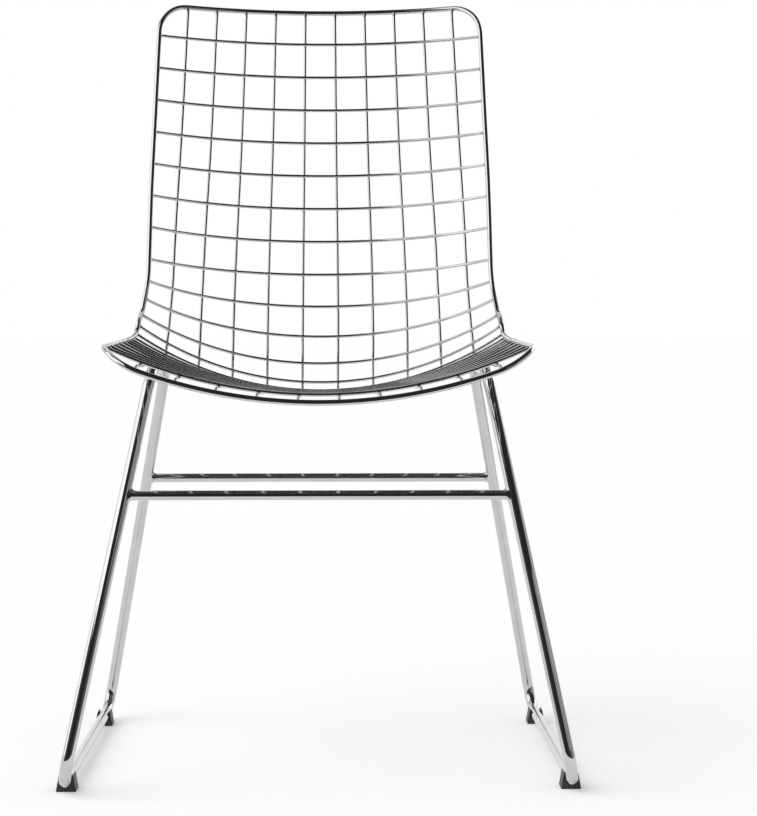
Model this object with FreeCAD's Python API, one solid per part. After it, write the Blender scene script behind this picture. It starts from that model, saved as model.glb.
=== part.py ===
import FreeCAD, Part
import math
import os

# Wire mesh dining chair. Millimetres, Z up, the sitter faces minus Y.
# Distances along the seat shell are measured from its front edge, up the middle.

V = FreeCAD.Vector

# Wires and rods
RIM_ROD = 6.0
MESH_WIRE = 3.6
FRAME_ROD = 12.0
SPREADER_ROD = 10.0
WELD_SINK = 0.2
WIRE_PAST_RIM = 1.5

# Flats round each bar, and straight lengths that stand for its curves
WIRE_SIDES = 6
RIM_SIDES = 10
ROD_SIDES = 16
CROSS_STEPS = 22
SEAT_STEPS = 10
BEND_STEPS = 16
BACK_STEPS = 8
EDGE_STEPS = 5
CORNER_STEPS = 6

# Mesh grid
CROSS_WIRES = 22
LONG_WIRES = 10
CROSS_PITCH = 40.5

# Side profile of the shell, from the front edge back and up
FRONT_EDGE_HEIGHT = 382.5
SEAT_LENGTH = 280.0
FRONT_SLOPE = -2.4
ROOT_SLOPE = -0.3
ROOT_FLAT = 120.5
ROOT_BEND_RADIUS = 103.5
ROOT_BEND_END = 55.5
LUMBAR_RADIUS = 213.5
BACK_SLOPE = 80.5
TOP_SLOPE = 86.5

# Half widths of the shell, measured round its dish
FRONT_HALF_WIDTH = 218.2
SEAT_HALF_WIDTH = 222.2
ROOT_HALF_WIDTH = 229.6
LUMBAR_HALF_WIDTH = 237.0
BACK_HALF_WIDTH = 214.6
TOP_HALF_WIDTH = 200.2

# Radii of the dish
FRONT_DISH = 514.0
SEAT_DISH = 426.0
ROOT_DISH = 382.0
LUMBAR_DISH = 258.5
BACK_DISH = 338.5
TOP_DISH = 445.5

# Stations along the shell: place in cross wire pitches, half width, dish radius
DISH_STATIONS = (
    (0, FRONT_HALF_WIDTH, FRONT_DISH),
    (5, SEAT_HALF_WIDTH, SEAT_DISH),
    (10, ROOT_HALF_WIDTH, ROOT_DISH),
    (14, LUMBAR_HALF_WIDTH, LUMBAR_DISH),
    (19, BACK_HALF_WIDTH, BACK_DISH),
    (23, TOP_HALF_WIDTH, TOP_DISH),
)

# Rounded corners of the rim
FRONT_CORNER = 45.0
TOP_CORNER = 37.0

# Sled base
RUNNER_SPREAD = 495.8
RUNNER_LENGTH = 417.5
RUNNER_SETBACK = 14.8
BEND_RADIUS = 25.0
RAIL_REACH = 174.5
RAIL_FRONT = 132.5
RAIL_REAR = 309.0
SPREADER_HEIGHT = 287.0

# Foot pads
PAD_LENGTH = 20.0
PAD_FOOT_WIDTH = 20.0
PAD_TOP_WIDTH = 14.4
PAD_HEIGHT = 16.0
PAD_WEB = 5.0
PAD_FIT = 0.1
PAD_EDGE = 0.8

# Worked out sizes
RIM_R = RIM_ROD / 2
WIRE_R = MESH_WIRE / 2
FRAME_R = FRAME_ROD / 2
SHELL_LENGTH = CROSS_PITCH * (CROSS_WIRES + 1)
LONG_LIFT = RIM_R + WIRE_R - WELD_SINK
CROSS_LIFT = LONG_LIFT + MESH_WIRE - WELD_SINK
SIDE_RIM_LIFT = CROSS_LIFT
RAIL_LIFT = CROSS_LIFT - WIRE_R - FRAME_R + WELD_SINK
RUNNER_HEIGHT = PAD_WEB + FRAME_R


def arc_length(radius, start, end):
    return radius * math.radians(abs(end - start))


# Profile segments: length, slope at the start, slope at the end
ROOT_LENGTH = arc_length(ROOT_BEND_RADIUS, ROOT_SLOPE, ROOT_BEND_END)
LUMBAR_LENGTH = arc_length(LUMBAR_RADIUS, ROOT_BEND_END, BACK_SLOPE)
BEND_START = SEAT_LENGTH + ROOT_FLAT
BEND_FINISH = BEND_START + ROOT_LENGTH + LUMBAR_LENGTH
PROFILE = (
    (SEAT_LENGTH, FRONT_SLOPE, ROOT_SLOPE),
    (ROOT_FLAT, ROOT_SLOPE, ROOT_SLOPE),
    (ROOT_LENGTH, ROOT_SLOPE, ROOT_BEND_END),
    (LUMBAR_LENGTH, ROOT_BEND_END, BACK_SLOPE),
    (SHELL_LENGTH - BEND_FINISH, BACK_SLOPE, TOP_SLOPE),
    (SHELL_LENGTH, TOP_SLOPE, TOP_SLOPE),
)


def profile_point(s):
    """Middle of the shell at distance s from the front edge, and the slope there."""
    y = 0.0
    z = FRONT_EDGE_HEIGHT
    slope = math.radians(FRONT_SLOPE)
    if s < 0.0:
        return y + s * math.cos(slope), z + s * math.sin(slope), slope
    for length, start, end in PROFILE:
        step = min(s, length)
        a = math.radians(start)
        turn = math.radians(end - start) * step / length
        chord = step
        if turn:
            chord = 2 * step / turn * math.sin(turn / 2)
        y += chord * math.cos(a + turn / 2)
        z += chord * math.sin(a + turn / 2)
        slope = a + turn
        s -= step
        if s <= 0.0:
            break
    return y, z, slope


def blend(s, column):
    """Smooth curve through one column of the dish stations."""
    rows = DISH_STATIONS
    xs = [row[0] * CROSS_PITCH for row in rows]
    ys = [row[column] for row in rows]
    if column == 2:
        ys = [1.0 / y for y in ys]
    s = min(max(s, xs[0]), xs[-1])
    i = 0
    while s > xs[i + 1]:
        i += 1
    slopes = []
    for j in (i, i + 1):
        a = max(j - 1, 0)
        b = min(j + 1, len(xs) - 1)
        slopes.append((ys[b] - ys[a]) / (xs[b] - xs[a]))
    span = xs[i + 1] - xs[i]
    t = (s - xs[i]) / span
    return (
        ys[i] * (1 + 2 * t) * (1 - t) ** 2
        + slopes[0] * span * t * (1 - t) ** 2
        + ys[i + 1] * t * t * (3 - 2 * t)
        + slopes[1] * span * t * t * (t - 1)
    )


def half_width(s):
    return blend(s, 1)


def dish_radius(s):
    return 1.0 / blend(s, 2)


def shell_point(s, q, lift):
    """Point at s along the shell and q round its dish, lifted towards the sitter."""
    y, z, slope = profile_point(s)
    radius = dish_radius(s)
    angle = q / radius
    reach = radius - lift
    rise = radius - reach * math.cos(angle)
    return V(
        reach * math.sin(angle),
        y - rise * math.sin(slope),
        z + rise * math.cos(slope),
    )


def shell_normal(s, q):
    """Direction from the shell towards the sitter."""
    slope = profile_point(s)[2]
    angle = q / dish_radius(s)
    return V(
        -math.sin(angle),
        -math.cos(angle) * math.sin(slope),
        math.cos(angle) * math.cos(slope),
    )


def steps(start, end, count):
    return [start + (end - start) * i / count for i in range(count + 1)]


def first_ring(centre, direction, facing, radius, sides):
    """Ring of corners round a bar, with one flat square to the facing direction."""
    up = (facing - direction * facing.dot(direction)).normalize()
    across = direction.cross(up)
    corner_radius = radius / math.cos(math.pi / sides)
    ring = []
    for k in range(sides):
        a = 2 * math.pi * (k + 0.5) / sides
        ring.append(centre + (up * math.cos(a) + across * math.sin(a)) * corner_radius)
    return ring


def next_ring(ring, direction, point, normal):
    """The ring's corners, carried along a straight length to the next mitre."""
    reach = direction.dot(normal)
    return [p + direction * ((point - p).dot(normal) / reach) for p in ring]


def bar(points, facing, radius, sides, closed=False):
    """Many sided bar along straight lengths, mitred at every point."""
    count = len(points)
    spans = count if closed else count - 1
    lines = [(points[(i + 1) % count] - points[i]).normalize() for i in range(spans)]
    normals = []
    for i in range(count):
        before = lines[i - 1] if i or closed else lines[0]
        after = lines[i] if i < spans else lines[-1]
        normals.append((before + after).normalize())
    start = first_ring(points[0], lines[0], facing, radius, sides)
    rings = [next_ring(start, lines[0], points[0], normals[0])]
    for i in range(1, count):
        rings.append(next_ring(rings[-1], lines[i - 1], points[i], normals[i]))
    faces = []
    for i in range(spans):
        low = rings[i]
        high = rings[(i + 1) % count]
        for k in range(sides):
            n = (k + 1) % sides
            faces.append(flat_face([low[k], low[n], high[n], high[k]]))
    if not closed:
        faces.append(flat_face(rings[0][::-1]))
        faces.append(flat_face(rings[-1]))
    shell = Part.Shell(faces)
    shell.sewShape()
    solid = Part.Solid(shell)
    if solid.Volume < 0:
        solid.reverse()
    return solid


def flat_face(corners):
    return Part.Face(Part.makePolygon(corners + corners[:1]))


# Cross wire: an arc over the long wires, its ends butted against the rim
def cross_wire(number):
    s = number * CROSS_PITCH
    reach = half_width(s) - RIM_R
    points = [shell_point(s, q, CROSS_LIFT) for q in steps(-reach, reach, CROSS_STEPS)]
    return bar(points, shell_normal(s, -reach), WIRE_R, WIRE_SIDES)


# Long wire: follows the shell at a fixed share of its width, over the rim at both ends
def long_wire(number):
    share = (2 * number - LONG_WIRES - 1) / (LONG_WIRES + 1)
    places = [(s, share * half_width(s)) for s in long_steps()]
    points = [shell_point(s, q, LONG_LIFT) for s, q in places]
    return bar(points, shell_normal(*places[0]), WIRE_R, WIRE_SIDES)


def long_steps():
    """Places along the shell: close together in the bends, wide apart in the back."""
    seat = steps(-WIRE_PAST_RIM, BEND_START, SEAT_STEPS)
    bend = steps(BEND_START, BEND_FINISH, BEND_STEPS)
    back = steps(BEND_FINISH, SHELL_LENGTH + WIRE_PAST_RIM, BACK_STEPS)
    return seat + bend[1:] + back[1:]


def corner_places(edge, inward, size):
    """Round corner of the rim from its end edge to its side edge."""
    places = []
    for degrees in steps(0.0, 90.0, CORNER_STEPS):
        a = math.radians(degrees)
        s = edge + inward * size * (1 - math.cos(a))
        q = half_width(s) - size * (1 - math.sin(a))
        places.append((s, q, SIDE_RIM_LIFT * math.sin(a) ** 2))
    return places


def rim_half():
    """Right half of the rim from the middle of the front to the middle of the top."""
    front = corner_places(0.0, 1, FRONT_CORNER)
    top = corner_places(SHELL_LENGTH, -1, TOP_CORNER)
    front_edge = [(0.0, q, 0.0) for q in steps(0.0, front[0][1], EDGE_STEPS)]
    top_edge = [(SHELL_LENGTH, q, 0.0) for q in steps(top[0][1], 0.0, EDGE_STEPS)]
    side = []
    for s in long_steps():
        if FRONT_CORNER < s < SHELL_LENGTH - TOP_CORNER:
            side.append((s, half_width(s), SIDE_RIM_LIFT))
    return front_edge[:-1] + front + side + top[::-1] + top_edge[1:]


# Rim: one closed rod round the shell, stepped forward along the sides to the cross wires
def rim():
    right = rim_half()
    left = [(s, -q, lift) for s, q, lift in reversed(right[1:-1])]
    points = [shell_point(s, q, lift) for s, q, lift in right + left]
    return bar(points, shell_normal(0, 0), RIM_R, RIM_SIDES, closed=True)


def bend_points(before, corner, after, radius):
    """Points round a bend between two straight lengths of rod."""
    back = (before - corner).normalize()
    ahead = (after - corner).normalize()
    half = back.getAngle(ahead) / 2
    centre = corner + (back + ahead).normalize() * (radius / math.sin(half))
    start = corner + back * (radius / math.tan(half)) - centre
    sweep_angle = math.pi - 2 * half
    across = (ahead + back * math.cos(sweep_angle)).normalize()
    side = back * -1.0
    points = []
    for a in steps(0.0, sweep_angle, CORNER_STEPS):
        points.append(centre + start * math.cos(a) + side * (radius * math.sin(a)))
    return points


def frame_corners(side):
    """Corners of one side frame: runner front and rear, rail rear and front."""
    x = side * RUNNER_SPREAD / 2
    front = V(x, RUNNER_SETBACK, RUNNER_HEIGHT)
    rear = V(x, RUNNER_SETBACK + RUNNER_LENGTH, RUNNER_HEIGHT)
    rail_rear = shell_point(RAIL_REAR, side * RAIL_REACH, RAIL_LIFT)
    rail_front = shell_point(RAIL_FRONT, side * RAIL_REACH, RAIL_LIFT)
    tilt = (rail_front.x - x) / (rail_front.z - RUNNER_HEIGHT)
    rail_rear.x = x + tilt * (rail_rear.z - RUNNER_HEIGHT)
    return [front, rear, rail_rear, rail_front]


def leg_centre(side, place):
    """Centre of a leg at the height of the spreaders."""
    front, rear, rail_rear, rail_front = frame_corners(side)
    foot, top = (front, rail_front) if place == "front" else (rear, rail_rear)
    share = (SPREADER_HEIGHT - foot.z) / (top.z - foot.z)
    return foot + (top - foot) * share


# Side frame: one rod bent into a closed loop, runner below and rail under the seat
def side_frame(side):
    corners = frame_corners(side)
    points = []
    for i in range(4):
        points += bend_points(corners[i - 1], corners[i], corners[(i + 1) % 4], BEND_RADIUS)
    return bar(points, V(side, 0, 0), FRAME_R, ROD_SIDES, closed=True)


# Spreader: round bar butted against both legs, its ends coped to them
def spreader(place, frames):
    left = leg_centre(-1, place)
    right = leg_centre(1, place)
    rod = bar([left, right], V(0, 0, 1), SPREADER_ROD / 2, ROD_SIDES)
    for frame in frames:
        rod = rod.cut(frame)
    return rod


# Foot pad: block with sloping flanks, grooved for the runner
def foot_pad(side, place):
    front, rear, rail_rear, rail_front = frame_corners(side)
    x = front.x
    if place == "front":
        half = (rail_front - front).getAngle(rear - front) / 2
        y = front.y + BEND_RADIUS / math.tan(half)
    else:
        half = (rail_rear - rear).getAngle(front - rear) / 2
        y = rear.y - BEND_RADIUS / math.tan(half) - PAD_LENGTH
    outline = [
        V(x - PAD_FOOT_WIDTH / 2, y, 0),
        V(x + PAD_FOOT_WIDTH / 2, y, 0),
        V(x + PAD_TOP_WIDTH / 2, y, PAD_HEIGHT),
        V(x - PAD_TOP_WIDTH / 2, y, PAD_HEIGHT),
    ]
    face = Part.Face(Part.makePolygon(outline + outline[:1]))
    block = face.extrude(V(0, PAD_LENGTH, 0))
    low_edges = [e for e in block.Edges if e.BoundBox.ZMax < PAD_HEIGHT / 2]
    block = block.makeChamfer(PAD_EDGE, low_edges)
    reach = FRAME_R + PAD_FIT
    ends = [V(x, y - PAD_LENGTH, RUNNER_HEIGHT), V(x, y + 2 * PAD_LENGTH, RUNNER_HEIGHT)]
    groove = bar(ends, V(side, 0, 0), reach, ROD_SIDES)
    slot = Part.makeBox(2 * reach, PAD_LENGTH, PAD_HEIGHT, V(x - reach, y, RUNNER_HEIGHT))
    return block.cut(groove).cut(slot)


# Assembly
parts = {"rim_rod": rim()}
for number in range(1, LONG_WIRES + 1):
    parts["long_wire_%02d" % number] = long_wire(number)
for number in range(1, CROSS_WIRES + 1):
    parts["cross_wire_%02d" % number] = cross_wire(number)
sides = (("left", -1), ("right", 1))
for name, side in sides:
    parts["side_frame_" + name] = side_frame(side)
frames = [parts["side_frame_left"], parts["side_frame_right"]]
for place in ("front", "rear"):
    parts["spreader_" + place] = spreader(place, frames)
    for name, side in sides:
        parts["foot_pad_%s_%s" % (place, name)] = foot_pad(side, place)

# The origin is the middle of the footprint, on the floor
box = Part.makeCompound(list(parts.values())).BoundBox
shift = V(-(box.XMin + box.XMax) / 2, -(box.YMin + box.YMax) / 2, -box.ZMin)
for name, shape in parts.items():
    shape.translate(shift)
    shape.exportStep("parts/%s.step" % name)
print("pieces", len(parts))
print("size %.1f x %.1f x %.1f" % (box.XLength, box.YLength, box.ZLength))
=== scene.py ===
import math

import bmesh
import bpy
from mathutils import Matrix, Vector


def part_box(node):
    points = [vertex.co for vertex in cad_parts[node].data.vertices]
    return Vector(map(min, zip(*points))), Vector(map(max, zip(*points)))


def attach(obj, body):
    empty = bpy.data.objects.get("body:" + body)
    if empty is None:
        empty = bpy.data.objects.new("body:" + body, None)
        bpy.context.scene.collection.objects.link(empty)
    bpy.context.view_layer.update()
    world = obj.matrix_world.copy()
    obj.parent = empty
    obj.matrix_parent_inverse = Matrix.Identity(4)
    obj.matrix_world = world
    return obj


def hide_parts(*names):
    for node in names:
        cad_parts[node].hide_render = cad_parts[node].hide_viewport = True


# Wire mesh dining chair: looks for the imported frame. Metres, Z up, the sitter faces minus Y.

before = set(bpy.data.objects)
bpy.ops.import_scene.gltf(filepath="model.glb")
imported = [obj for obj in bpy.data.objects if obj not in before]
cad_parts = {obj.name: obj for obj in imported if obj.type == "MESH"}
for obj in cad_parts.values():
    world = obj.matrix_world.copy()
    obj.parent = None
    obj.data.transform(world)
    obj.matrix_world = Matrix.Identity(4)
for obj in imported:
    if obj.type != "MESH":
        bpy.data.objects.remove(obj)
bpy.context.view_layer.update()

# Stock, as in the part
MM = 0.001
RIM_R = 3.0 * MM
WIRE_R = 1.8 * MM
FRAME_R = 6.0 * MM
SPREADER_R = 5.0 * MM
WELD_SINK = 0.2 * MM

# Ends of the long wires, drawn down on to the rim: place, lift, length of the drop
WIRE_END = 1.6 * MM
WIRE_END_LIFT = 1.8 * MM
WIRE_END_RUN = 6.0 * MM

# Mesh grid
CROSS_WIRES = 22
LONG_WIRES = 10
CROSS_PITCH = 40.5 * MM

# Side profile of the shell, from the front edge back and up
FRONT_EDGE_HEIGHT = 382.5 * MM
SEAT_LENGTH = 280.0 * MM
FRONT_SLOPE = -2.4
ROOT_SLOPE = -0.3
ROOT_FLAT = 120.5 * MM
ROOT_BEND_RADIUS = 103.5 * MM
ROOT_BEND_END = 55.5
LUMBAR_RADIUS = 213.5 * MM
BACK_SLOPE = 80.5
TOP_SLOPE = 86.5

# Dish of the shell: place in cross wire pitches, half width, dish radius
DISH_STATIONS = (
    (0, 0.2182, 0.514),
    (5, 0.2222, 0.426),
    (10, 0.2296, 0.382),
    (14, 0.2370, 0.2585),
    (19, 0.2146, 0.3385),
    (23, 0.2002, 0.4455),
)
FRONT_CORNER = 45.0 * MM
TOP_CORNER = 37.0 * MM

# Sled base
RUNNER_SPREAD = 495.8 * MM
RUNNER_LENGTH = 417.5 * MM
RUNNER_SETBACK = 14.8 * MM
RUNNER_HEIGHT = 11.0 * MM
BEND_RADIUS = 25.0 * MM
RAIL_REACH = 174.5 * MM
RAIL_FRONT = 132.5 * MM
RAIL_REAR = 309.0 * MM
SPREADER_HEIGHT = 287.0 * MM

# Round bars: sides, and steps along them
RIM_SIDES = 20
WIRE_SIDES = 14
FRAME_SIDES = 40
SPREADER_SIDES = 36
CORNER_STEPS = 18
END_EDGE_STEPS = 30
SIDE_EDGE_STEPS = 210
CROSS_STEPS = 88
LONG_STEPS = 224
WIRE_END_STEPS = 8
BEND_STEPS = 14
SPREADER_STEPS = 40

# Free ends of a bar, in radii: how far they round off, and that round as rings, each with
# its share back from the tip and its share off the radius
NOSE = 0.35
NOSE_RINGS = ((0.0, 1.0), (0.13, 0.5), (0.5, 0.13))

# Fillet welds of the spreaders: ripples as height, number round the bar, phase
FILLET = 4.2 * MM
FILLET_SIDES = 48
FILLET_STEPS = 8
FILLET_SINK = 0.1 * MM
FILLET_RIPPLES = ((0.10, 5, 1.0), (0.06, 9, 0.0))

# Spot welds: half sizes along, across and out of the shell
CROSSING_BEAD = (2.3 * MM, 2.3 * MM, 1.265 * MM)
SIDE_BEAD = (2.3 * MM, 1.38 * MM, 2.3 * MM)
END_BEAD = (1.38 * MM, 2.3 * MM, 1.84 * MM)

# Foot pads
PAD_EDGE = 0.6 * MM
PAD_EDGE_SEGMENTS = 3
PAD_EDGE_ANGLE = 30.0

# Tones, darkest and lightest
CHROME_TONES = (0.54, 0.545, 0.56, 1.0), (0.60, 0.605, 0.62, 1.0)
RUBBER_TONES = (0.012, 0.012, 0.013, 1.0), (0.035, 0.035, 0.038, 1.0)
WHITE = (1.0, 1.0, 1.0, 1.0)

# Floor, world and key lamp
FLOOR_REACH = 200
FLOOR_TONE = 0.8
FLOOR_ROUGHNESS = 0.9
FLOOR_GLOW = 0.235
WORLD_LIGHT = 0.62
KEY_TOWARDS = (1.5, 0.4, -1.5)
KEY_STRENGTH = 1.5
KEY_ANGLE = 60.0

# Upright boards: x and y of one end, x and y of the other, foot, top, tone
UPRIGHT_BOARDS = (
    ("front_card", -1.0, -2.6, 2.6, -2.6, 0.0, 3.0, 0.03),
    ("front_left_card", -1.5, -2.05, -1.0, -2.6, 0.0, 3.0, 0.04),
    ("left_low_card", -2.3, -1.1, -1.5, -2.05, 0.0, 1.15, 0.08),
    ("left_box", -2.3, -1.1, -1.5, -2.05, 1.15, 3.0, 1.7),
    ("left_window", -2.3, -1.1, -2.4, 0.7, 0.45, 3.0, 1.6),
    ("left_rear_card", -2.4, 0.7, -2.0, 2.2, 2.0, 3.0, 0.1),
    ("front_right_low_card", 1.2, -2.6, 2.6, -1.6, 0.0, 0.9, 0.1),
    ("front_right_card", 1.2, -2.6, 2.6, -1.6, 0.9, 1.5, 0.35),
    ("right_low_card", 2.6, -1.6, 2.6, 1.2, 0.0, 0.9, 0.4),
    ("right_card", 2.6, -1.6, 2.6, 1.2, 0.9, 1.5, 0.55),
    ("right_top_card", 2.6, -2.6, 2.6, 1.2, 1.5, 3.0, 0.04),
    ("right_window", 2.6, 1.2, 1.4, 3.2, 0.9, 2.2, 1.9),
)

# Level boards: x and y of one corner, x and y of the opposite one, height, tone
LEVEL_BOARDS = (
    ("ceiling_card", -0.4, -2.6, 2.6, 2.2, 3.0, 0.03),
    ("ceiling_left_card", -2.6, -2.6, -0.4, 0.2, 3.0, 0.03),
    ("ceiling_box", -2.1, -1.6, -0.9, -0.5, 2.98, 1.3),
    ("ground_card", -0.8, -2.6, 3.0, -0.75, 0.003, 0.04),
    ("ground_left_card", -3.0, -2.6, -0.8, -1.0, 0.003, 0.1),
)

# Camera, solved from the photograph: lengths in its pixels, place before SHIFT, turn in degrees
FOCAL_PIXELS = 1990.7
PICTURE_PIXELS = 816.0
SENSOR = 36.0
CAMERA_PLACE = (0.00844, -1.8926, 0.4447)
CAMERA_TURN = (87.969, 0.003, -1.465)

SHELL_LENGTH = CROSS_PITCH * (CROSS_WIRES + 1)
LONG_LIFT = RIM_R + WIRE_R - WELD_SINK
CROSS_LIFT = LONG_LIFT + 2 * WIRE_R - WELD_SINK
SIDE_RIM_LIFT = CROSS_LIFT
RAIL_LIFT = CROSS_LIFT - WIRE_R - FRAME_R + WELD_SINK


def arc_length(radius, start, end):
    return radius * math.radians(abs(end - start))


ROOT_LENGTH = arc_length(ROOT_BEND_RADIUS, ROOT_SLOPE, ROOT_BEND_END)
LUMBAR_LENGTH = arc_length(LUMBAR_RADIUS, ROOT_BEND_END, BACK_SLOPE)
BEND_FINISH = SEAT_LENGTH + ROOT_FLAT + ROOT_LENGTH + LUMBAR_LENGTH
# Stretches of the profile: length, slope at the start, slope at the end
PROFILE = (
    (SEAT_LENGTH, FRONT_SLOPE, ROOT_SLOPE),
    (ROOT_FLAT, ROOT_SLOPE, ROOT_SLOPE),
    (ROOT_LENGTH, ROOT_SLOPE, ROOT_BEND_END),
    (LUMBAR_LENGTH, ROOT_BEND_END, BACK_SLOPE),
    (SHELL_LENGTH - BEND_FINISH, BACK_SLOPE, TOP_SLOPE),
)


# Shell surface
def profile_point(s):
    """Middle of the shell at distance s from the front edge, and the slope there."""
    y = 0.0
    z = FRONT_EDGE_HEIGHT
    slope = math.radians(FRONT_SLOPE)
    for length, start, end in PROFILE:
        step = min(s, length)
        a = math.radians(start)
        turn = math.radians(end - start) * step / length
        chord = step
        if turn:
            chord = 2 * step / turn * math.sin(turn / 2)
        y += chord * math.cos(a + turn / 2)
        z += chord * math.sin(a + turn / 2)
        slope = a + turn
        s -= step
        if s <= 0.0:
            break
    return y, z, slope


def blend(s, column):
    """Smooth curve through one column of the dish stations."""
    xs = [row[0] * CROSS_PITCH for row in DISH_STATIONS]
    ys = [row[column] for row in DISH_STATIONS]
    if column == 2:
        ys = [1.0 / y for y in ys]
    s = min(s, xs[-1])
    i = 0
    while s > xs[i + 1]:
        i += 1
    slopes = []
    for j in (i, i + 1):
        a = max(j - 1, 0)
        b = min(j + 1, len(xs) - 1)
        slopes.append((ys[b] - ys[a]) / (xs[b] - xs[a]))
    span = xs[i + 1] - xs[i]
    t = (s - xs[i]) / span
    return (
        ys[i] * (1 + 2 * t) * (1 - t) ** 2
        + slopes[0] * span * t * (1 - t) ** 2
        + ys[i + 1] * t * t * (3 - 2 * t)
        + slopes[1] * span * t * t * (t - 1)
    )


def half_width(s):
    return blend(s, 1)


def dish_radius(s):
    return 1.0 / blend(s, 2)


def shell_point(s, q, lift):
    """Point at s along the shell and q round its dish, lifted towards the sitter."""
    y, z, slope = profile_point(s)
    radius = dish_radius(s)
    angle = q / radius
    reach = radius - lift
    rise = radius - reach * math.cos(angle)
    return Vector((
        reach * math.sin(angle),
        y - rise * math.sin(slope),
        z + rise * math.cos(slope),
    ))


def steps(start, end, count):
    return [start + (end - start) * i / count for i in range(count + 1)]


def corner_places(edge, inward, size, count):
    """Round corner of the rim from its end edge to its side edge."""
    places = []
    for degrees in steps(0.0, 90.0, count):
        a = math.radians(degrees)
        s = edge + inward * size * (1 - math.cos(a))
        q = half_width(s) - size * (1 - math.sin(a))
        places.append((s, q, SIDE_RIM_LIFT * math.sin(a) ** 2))
    return places


def rim_path():
    """Closed round, from the middle of the front edge up one side and down the other."""
    front = corner_places(0.0, 1, FRONT_CORNER, CORNER_STEPS)
    top = corner_places(SHELL_LENGTH, -1, TOP_CORNER, CORNER_STEPS)
    half = [(0.0, q, 0.0) for q in steps(0.0, front[0][1], END_EDGE_STEPS)[:-1]] + front
    for s in steps(FRONT_CORNER, SHELL_LENGTH - TOP_CORNER, SIDE_EDGE_STEPS)[1:-1]:
        half.append((s, half_width(s), SIDE_RIM_LIFT))
    half += top[::-1]
    half += [(SHELL_LENGTH, q, 0.0) for q in steps(top[0][1], 0.0, END_EDGE_STEPS)[1:]]
    places = half + [(s, -q, lift) for s, q, lift in reversed(half[1:-1])]
    return [shell_point(*place) for place in places]


def cross_path(number):
    s = number * CROSS_PITCH
    reach = half_width(s) - RIM_R
    return [shell_point(s, q, CROSS_LIFT) for q in steps(-reach, reach, CROSS_STEPS)]


def long_share(number):
    """Place of a long wire across the shell, as a share of its half width."""
    return (2 * number - LONG_WIRES - 1) / (LONG_WIRES + 1)


def long_path(number):
    share = long_share(number)
    first = WIRE_END + WIRE_END_RUN
    last = SHELL_LENGTH - WIRE_END - WIRE_END_RUN
    places = steps(WIRE_END, first, WIRE_END_STEPS)[:-1]
    places += steps(first, last, LONG_STEPS)
    places += steps(last, SHELL_LENGTH - WIRE_END, WIRE_END_STEPS)[1:]
    return [shell_point(s, share * half_width(s), end_lift(s)) for s in places]


def end_lift(s):
    """Lift of a long wire, drawn down on to the rim at its ends."""
    t = min(s, SHELL_LENGTH - s) - WIRE_END
    t = min(max(t / WIRE_END_RUN, 0.0), 1.0)
    return WIRE_END_LIFT + (LONG_LIFT - WIRE_END_LIFT) * t * t * (3 - 2 * t)


# Sled base paths
def frame_corners(side):
    """Corners of a side frame's centre line: front foot, rear foot, rear and front of the rail."""
    x = side * RUNNER_SPREAD / 2
    front = Vector((x, RUNNER_SETBACK, RUNNER_HEIGHT))
    rear = Vector((x, RUNNER_SETBACK + RUNNER_LENGTH, RUNNER_HEIGHT))
    rail_rear = shell_point(RAIL_REAR, side * RAIL_REACH, RAIL_LIFT)
    rail_front = shell_point(RAIL_FRONT, side * RAIL_REACH, RAIL_LIFT)
    tilt = (rail_front.x - x) / (rail_front.z - RUNNER_HEIGHT)
    rail_rear.x = x + tilt * (rail_rear.z - RUNNER_HEIGHT)
    return [front, rear, rail_rear, rail_front]


def bend_points(before, corner, after):
    """Round bend in place of a corner."""
    back = (before - corner).normalized()
    ahead = (after - corner).normalized()
    half = back.angle(ahead) / 2
    centre = corner + (back + ahead).normalized() * (BEND_RADIUS / math.sin(half))
    start = corner + back * (BEND_RADIUS / math.tan(half)) - centre
    points = []
    for a in steps(0.0, math.pi - 2 * half, BEND_STEPS):
        points.append(centre + start * math.cos(a) - back * (BEND_RADIUS * math.sin(a)))
    return points


def frame_path(side):
    corners = frame_corners(side)
    points = []
    for i in range(len(corners)):
        points += bend_points(corners[i - 1], corners[i], corners[(i + 1) % len(corners)])
    return points


def leg_ends(side, place):
    """Foot and top of a leg's centre line."""
    front, rear, rail_rear, rail_front = frame_corners(side)
    return (front, rail_front) if place == "front" else (rear, rail_rear)


def leg_centre(side, place):
    """Middle of a leg at the height of its spreader."""
    foot, top = leg_ends(side, place)
    share = (SPREADER_HEIGHT - foot.z) / (top.z - foot.z)
    return foot + (top - foot) * share


# The paths start at the shell's front edge, the part's origin is under the middle of its box
rim_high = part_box("rim_rod")[1]
rim_points = rim_path()
SHIFT = Vector((0.0, rim_high.y - RIM_R - max(p.y for p in rim_points), 0.0))


# Mesh building
def link(name, mesh, material, slot, *nodes):
    piece = bpy.data.objects.new(name, mesh)
    bpy.context.scene.collection.objects.link(piece)
    mesh.materials.append(material)
    for polygon in mesh.polygons:
        polygon.use_smooth = True
    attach(piece, "root")
    if nodes:
        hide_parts(*nodes)


def flattened(vector, axis):
    """What is left of a vector square to an axis."""
    return vector - axis * vector.dot(axis)


def square_to(vector, axis):
    return flattened(vector, axis).normalized()


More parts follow.
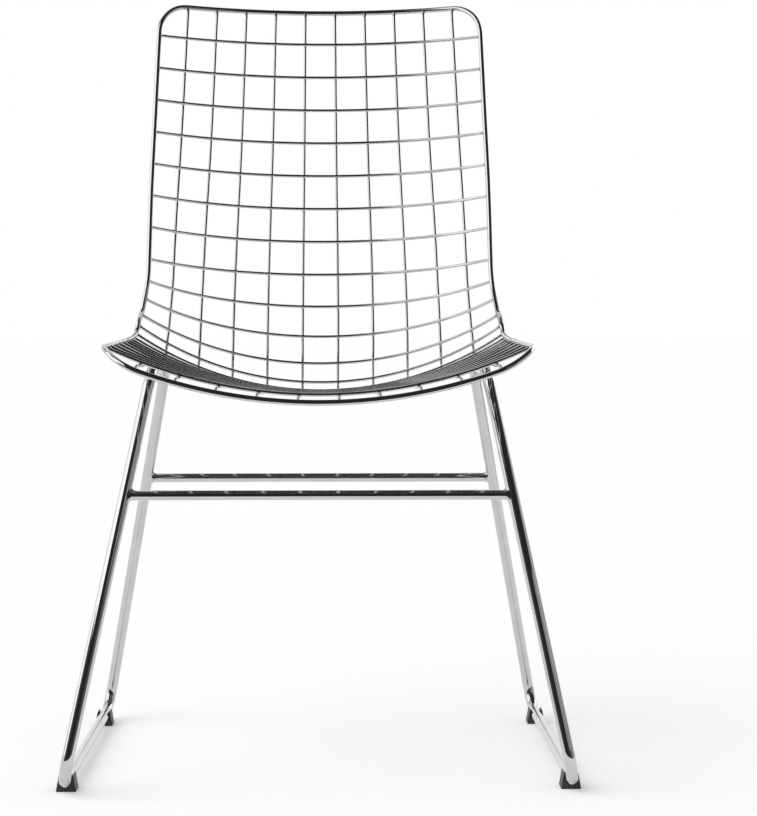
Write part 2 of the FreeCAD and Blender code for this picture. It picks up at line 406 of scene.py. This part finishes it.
def tube(name, points, radius, sides, material, slot, node, closed=False):
    """Round bar along the points, closed on itself or with softly rounded ends."""
    points = [p + SHIFT for p in points]
    count = len(points)
    tangents = []
    for i in range(count):
        a = points[i - 1] if i or closed else points[0]
        b = points[(i + 1) % count] if i < count - 1 or closed else points[-1]
        tangents.append((b - a).normalized())
    up = tangents[0].orthogonal().normalized()
    hoops = []
    for point, tangent in zip(points, tangents):
        up = square_to(up, tangent)
        hoops.append((point, up, tangent.cross(up), radius))
    hoops = untwist(hoops, tangents[0]) if closed else soften(hoops, tangents, radius)
    bm = bmesh.new()
    rings = []
    for centre, one, two, size in hoops:
        ring = []
        for k in range(sides):
            a = 2 * math.pi * k / sides
            ring.append(bm.verts.new(centre + (one * math.cos(a) + two * math.sin(a)) * size))
        rings.append(ring)
    spans = len(rings) if closed else len(rings) - 1
    for i in range(spans):
        first = rings[i]
        second = rings[(i + 1) % len(rings)]
        for k in range(sides):
            n = (k + 1) % sides
            bm.faces.new((first[k], first[n], second[n], second[k]))
    if not closed:
        bm.faces.new(rings[0][::-1])
        bm.faces.new(rings[-1])
    link(name, finish_mesh(bm, name), material, slot, node)


def untwist(hoops, tangent):
    """Spreads the twist left after one turn evenly round a closed bar."""
    _, one, two, _ = hoops[0]
    last = square_to(hoops[-1][1], tangent)
    twist = math.atan2(last.dot(two), last.dot(one))
    turned = []
    for i, (centre, one, two, size) in enumerate(hoops):
        a = -twist * i / len(hoops)
        turned.append((
            centre,
            one * math.cos(a) + two * math.sin(a),
            two * math.cos(a) - one * math.sin(a),
            size,
        ))
    return turned


def soften(hoops, tangents, radius):
    """Adds rings that round off both free ends, inside the bar's own length."""
    def moved(hoop, tangent, back, share):
        centre, one, two, _ = hoop
        return centre + tangent * back * radius, one, two, radius * share

    rings = [(NOSE * back, 1 - NOSE * off) for back, off in NOSE_RINGS]
    start = [moved(hoops[0], tangents[0], back, share) for back, share in rings]
    end = [moved(hoops[-1], tangents[-1], -back, share) for back, share in rings]
    start.append(moved(hoops[0], tangents[0], NOSE, 1.0))
    end.append(moved(hoops[-1], tangents[-1], -NOSE, 1.0))
    return start + hoops[1:-1] + end[::-1]


def finish_mesh(bm, name):
    bmesh.ops.recalc_face_normals(bm, faces=bm.faces)
    mesh = bpy.data.meshes.new(name)
    bm.to_mesh(mesh)
    bm.free()
    return mesh


# Welds
def fillet_weld(bm, side, place):
    """Concave, slightly rippled weld from the end of a spreader on to its leg."""
    start = leg_centre(side, place)
    foot, top = leg_ends(side, place)
    along = (leg_centre(-side, place) - start).normalized()
    axis = (top - foot).normalized()
    up = square_to(axis, along)
    out = along.cross(up)
    strips = []
    for k in range(FILLET_SIDES):
        a = 2 * math.pi * k / FILLET_SIDES
        spoke = up * math.cos(a) + out * math.sin(a)
        saddle = on_leg(start + spoke * SPREADER_R, along, start, axis)
        ripples = [height * math.sin(times * a + phase) for height, times, phase in FILLET_RIPPLES]
        size = FILLET * sum(ripples, 1)
        near = saddle + along * size
        normal = square_to(saddle - start, axis)
        far = saddle + square_to(spoke, normal) * size - start
        far = start + axis * far.dot(axis) + square_to(far, axis) * FRAME_R
        strip = []
        for t in steps(0.0, 1.0, FILLET_STEPS):
            point = near * (1 - t) ** 2 + saddle * (2 * t * (1 - t)) + far * t * t
            sink = FILLET_SINK * 4 * (t - 0.5) ** 2
            strip.append(bm.verts.new(point - (spoke * (1 - t) + normal * t) * sink + SHIFT))
        strips.append(strip)
    for k in range(FILLET_SIDES):
        n = (k + 1) % FILLET_SIDES
        for j in range(FILLET_STEPS):
            bm.faces.new((strips[k][j], strips[n][j], strips[n][j + 1], strips[k][j + 1]))


def on_leg(point, along, centre, axis):
    """Where a line along a spreader meets the round of its leg."""
    ahead = flattened(along, axis)
    gap = flattened(point - centre, axis)
    half = gap.dot(ahead)
    square = ahead.dot(ahead)
    root = math.sqrt(half * half - square * (gap.dot(gap) - FRAME_R * FRAME_R))
    return point + along * ((root - half) / square)


def bead(bm, s, q, lift, size):
    """Small smooth swelling where two wires are spot welded."""
    here = shell_point(s, q, lift)
    normal = (shell_point(s, q, lift + MM) - here).normalized()
    along = (shell_point(s + MM, q, lift) - here).normalized()
    across = normal.cross(along)
    centre = here + SHIFT
    made = bmesh.ops.create_icosphere(bm, subdivisions=2, radius=1.0)
    for vert in made["verts"]:
        x, y, z = vert.co
        vert.co = centre + along * (x * size[0]) + across * (y * size[1]) + normal * (z * size[2])


# Materials
def new_material(name):
    material = bpy.data.materials.new(name)
    material.use_nodes = True
    tree = material.node_tree
    shader = tree.nodes["Principled BSDF"]
    return material, tree, shader


def node(tree, kind, **inputs):
    made = tree.nodes.new(kind)
    for key, value in inputs.items():
        made.inputs[key.replace("_", " ")].default_value = value
    return made


def noise(tree, place, **inputs):
    made = node(tree, "ShaderNodeTexNoise", **inputs)
    tree.links.new(place.outputs["Object"], made.inputs["Vector"])
    return made.outputs["Fac"]


def tint(tree, shader, pattern, tones, low=0.0, high=1.0):
    """Colours the shader between two tones, with the pattern's range from low to high."""
    ramp = tree.nodes.new("ShaderNodeValToRGB")
    for element, place, tone in zip(ramp.color_ramp.elements, (low, high), tones):
        element.position = place
        element.color = tone
    tree.links.new(pattern, ramp.inputs["Fac"])
    tree.links.new(ramp.outputs["Color"], shader.inputs["Base Color"])


def roughen(tree, shader, pattern, smooth, rough, low=0.0, high=1.0):
    """Roughness between two values, with the pattern's range from low to high."""
    gloss = node(tree, "ShaderNodeMapRange", From_Min=low, From_Max=high, To_Min=smooth, To_Max=rough)
    tree.links.new(pattern, gloss.inputs["Value"])
    tree.links.new(gloss.outputs["Result"], shader.inputs["Roughness"])


def emboss(tree, shader, pattern, strength, distance):
    relief = node(tree, "ShaderNodeBump", Strength=strength, Distance=distance)
    tree.links.new(pattern, relief.inputs["Height"])
    tree.links.new(relief.outputs["Normal"], shader.inputs["Normal"])


def chrome(name, smooth, rough, relief):
    """Bright plate over drawn steel: faint haze, fine draw marks and soft waviness."""
    material, tree, shader = new_material(name)
    shader.inputs["Metallic"].default_value = 1.0
    place = tree.nodes.new("ShaderNodeTexCoord")
    haze = noise(tree, place, Scale=38.0, Detail=4.0, Roughness=0.6)
    tint(tree, shader, haze, CHROME_TONES, low=0.3, high=0.7)
    smear = noise(tree, place, Scale=210.0, Detail=3.0, Roughness=0.55)
    roughen(tree, shader, smear, smooth, rough, low=0.3, high=0.7)
    wave = noise(tree, place, Scale=55.0, Detail=2.0, Roughness=0.4)
    emboss(tree, shader, wave, strength=relief, distance=1.0 * MM)
    return material


def rubber(name):
    """Black satin rubber with a fine grain."""
    material, tree, shader = new_material(name)
    place = tree.nodes.new("ShaderNodeTexCoord")
    grain = noise(tree, place, Scale=900.0, Detail=3.0, Roughness=0.6)
    tint(tree, shader, grain, RUBBER_TONES)
    roughen(tree, shader, grain, smooth=0.38, rough=0.6)
    emboss(tree, shader, grain, strength=0.35, distance=0.2 * MM)
    return material


wire_chrome = chrome("wire_chrome", smooth=0.05, rough=0.10, relief=0.05)
rod_chrome = chrome("rod_chrome", smooth=0.035, rough=0.08, relief=0.04)
pad_rubber = rubber("black_rubber")

# Shell
tube("rim", rim_points, RIM_R, RIM_SIDES, rod_chrome, "chrome_rod", "rim_rod", closed=True)
for number in range(1, LONG_WIRES + 1):
    label = "long_wire_%02d" % number
    path = long_path(number)
    tube("shown_" + label, path, WIRE_R, WIRE_SIDES, wire_chrome, "chrome_wire", label)
for number in range(1, CROSS_WIRES + 1):
    label = "cross_wire_%02d" % number
    path = cross_path(number)
    tube("shown_" + label, path, WIRE_R, WIRE_SIDES, wire_chrome, "chrome_wire", label)

# Sled base
for name, side in (("left", -1), ("right", 1)):
    label = "side_frame_" + name
    path = frame_path(side)
    tube("shown_" + label, path, FRAME_R, FRAME_SIDES, rod_chrome, "chrome_rod", label, closed=True)
for place in ("front", "rear"):
    label = "spreader_" + place
    left, right = leg_centre(-1, place), leg_centre(1, place)
    path = [left.lerp(right, t) for t in steps(0.0, 1.0, SPREADER_STEPS)]
    tube("shown_" + label, path, SPREADER_R, SPREADER_SIDES, rod_chrome, "chrome_rod", label)

# Spot welds at the crossings, at the cross wires' ends and at the long wires' ends
bm = bmesh.new()
for row in range(1, CROSS_WIRES + 1):
    s = row * CROSS_PITCH
    for column in range(1, LONG_WIRES + 1):
        q = long_share(column) * half_width(s)
        bead(bm, s, q, (LONG_LIFT + CROSS_LIFT) / 2, CROSSING_BEAD)
    for side in (-1, 1):
        bead(bm, s, side * (half_width(s) - RIM_R), CROSS_LIFT, SIDE_BEAD)
for column in range(1, LONG_WIRES + 1):
    for s in (WIRE_END, SHELL_LENGTH - WIRE_END):
        bead(bm, s, long_share(column) * half_width(s), WIRE_END_LIFT, END_BEAD)
link("spot_welds", finish_mesh(bm, "spot_welds"), wire_chrome, "chrome_wire")

# Fillet welds of the spreaders
bm = bmesh.new()
for place in ("front", "rear"):
    for side in (-1, 1):
        fillet_weld(bm, side, place)
link("spreader_welds", finish_mesh(bm, "spreader_welds"), rod_chrome, "chrome_rod")

# Foot pads
for place in ("front", "rear"):
    for name in ("left", "right"):
        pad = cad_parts["foot_pad_%s_%s" % (place, name)]
        pad.data.materials.clear()
        pad.data.materials.append(pad_rubber)
        edge = pad.modifiers.new("soft_edges", "BEVEL")
        edge.width = PAD_EDGE
        edge.segments = PAD_EDGE_SEGMENTS
        edge.limit_method = "ANGLE"
        edge.angle_limit = math.radians(PAD_EDGE_ANGLE)


# Floor
def board(name, corners, material):
    mesh = bpy.data.meshes.new(name)
    mesh.from_pydata(corners, [], [(0, 1, 2, 3)])
    mesh.materials.append(material)
    made = bpy.data.objects.new(name, mesh)
    bpy.context.scene.collection.objects.link(made)
    return made


def seen_plainly(tree):
    """One for camera, mirror and glass rays, zero for the rest."""
    rays = tree.nodes.new("ShaderNodeLightPath")
    seen = rays.outputs["Is Camera Ray"]
    for kind in ("Is Glossy Ray", "Is Transmission Ray"):
        either = tree.nodes.new("ShaderNodeMath")
        either.operation = "MAXIMUM"
        tree.links.new(seen, either.inputs[0])
        tree.links.new(rays.outputs[kind], either.inputs[1])
        seen = either.outputs[0]
    return seen


# Pale, with a glow that carries it up to white
floor_material, tree, shader = new_material("floor_white")
shader.inputs["Base Color"].default_value = (FLOOR_TONE, FLOOR_TONE, FLOOR_TONE, 1.0)
shader.inputs["Roughness"].default_value = FLOOR_ROUGHNESS
shader.inputs["Specular IOR Level"].default_value = 0.0
glow = node(tree, "ShaderNodeEmission", Color=WHITE)
dim = tree.nodes.new("ShaderNodeMath")
dim.operation = "MULTIPLY"
dim.inputs[1].default_value = FLOOR_GLOW
tree.links.new(seen_plainly(tree), dim.inputs[0])
tree.links.new(dim.outputs[0], glow.inputs["Strength"])
total = tree.nodes.new("ShaderNodeAddShader")
tree.links.new(shader.outputs["BSDF"], total.inputs[0])
tree.links.new(glow.outputs["Emission"], total.inputs[1])
tree.links.new(total.outputs["Shader"], tree.nodes["Material Output"].inputs["Surface"])
floor_signs = (-1, -1), (1, -1), (1, 1), (-1, 1)
board("floor", [(x * FLOOR_REACH, y * FLOOR_REACH, 0) for x, y in floor_signs], floor_material)

# World: white behind the object, softer as a light
world = bpy.data.worlds.new("studio")
bpy.context.scene.world = world
world.use_nodes = True
tree = world.node_tree
back = tree.nodes["Background"]
back.inputs["Color"].default_value = WHITE
level = node(tree, "ShaderNodeMapRange", To_Min=WORLD_LIGHT, To_Max=1.0)
tree.links.new(seen_plainly(tree), level.inputs["Value"])
tree.links.new(level.outputs["Result"], back.inputs["Strength"])

# Key: one broad lamp that mirrors don't see
key_data = bpy.data.lights.new("key", "SUN")
key_data.energy = KEY_STRENGTH
key_data.angle = math.radians(KEY_ANGLE)
key = bpy.data.objects.new("key", key_data)
key.rotation_euler = Vector(KEY_TOWARDS).to_track_quat("-Z", "Y").to_euler()
key.visible_glossy = False
bpy.context.scene.collection.objects.link(key)


# Studio: the room that the chrome shows
def mirror_board(name, corners, tone):
    """Board that only mirrors see."""
    material, tree, _ = new_material(name)
    glow = node(tree, "ShaderNodeEmission", Color=WHITE, Strength=tone)
    tree.links.new(glow.outputs["Emission"], tree.nodes["Material Output"].inputs["Surface"])
    made = board(name, corners, material)
    made.visible_camera = False
    made.visible_diffuse = False
    made.visible_shadow = False


for name, ax, ay, bx, by, low, high, tone in UPRIGHT_BOARDS:
    mirror_board(name, [(ax, ay, low), (bx, by, low), (bx, by, high), (ax, ay, high)], tone)
for name, ax, ay, bx, by, z, tone in LEVEL_BOARDS:
    mirror_board(name, [(ax, ay, z), (bx, ay, z), (bx, by, z), (ax, by, z)], tone)

# Camera at the photograph's viewpoint
camera_data = bpy.data.cameras.new("camera")
camera_data.sensor_width = SENSOR
camera_data.lens = FOCAL_PIXELS * SENSOR / PICTURE_PIXELS
camera = bpy.data.objects.new("camera", camera_data)
x, y, z = CAMERA_PLACE
camera.location = (x, y + SHIFT.y, z)
camera.rotation_euler = [math.radians(turn) for turn in CAMERA_TURN]
bpy.context.scene.collection.objects.link(camera)
bpy.context.scene.camera = camera
bpy.context.scene.view_settings.view_transform = "Standard"
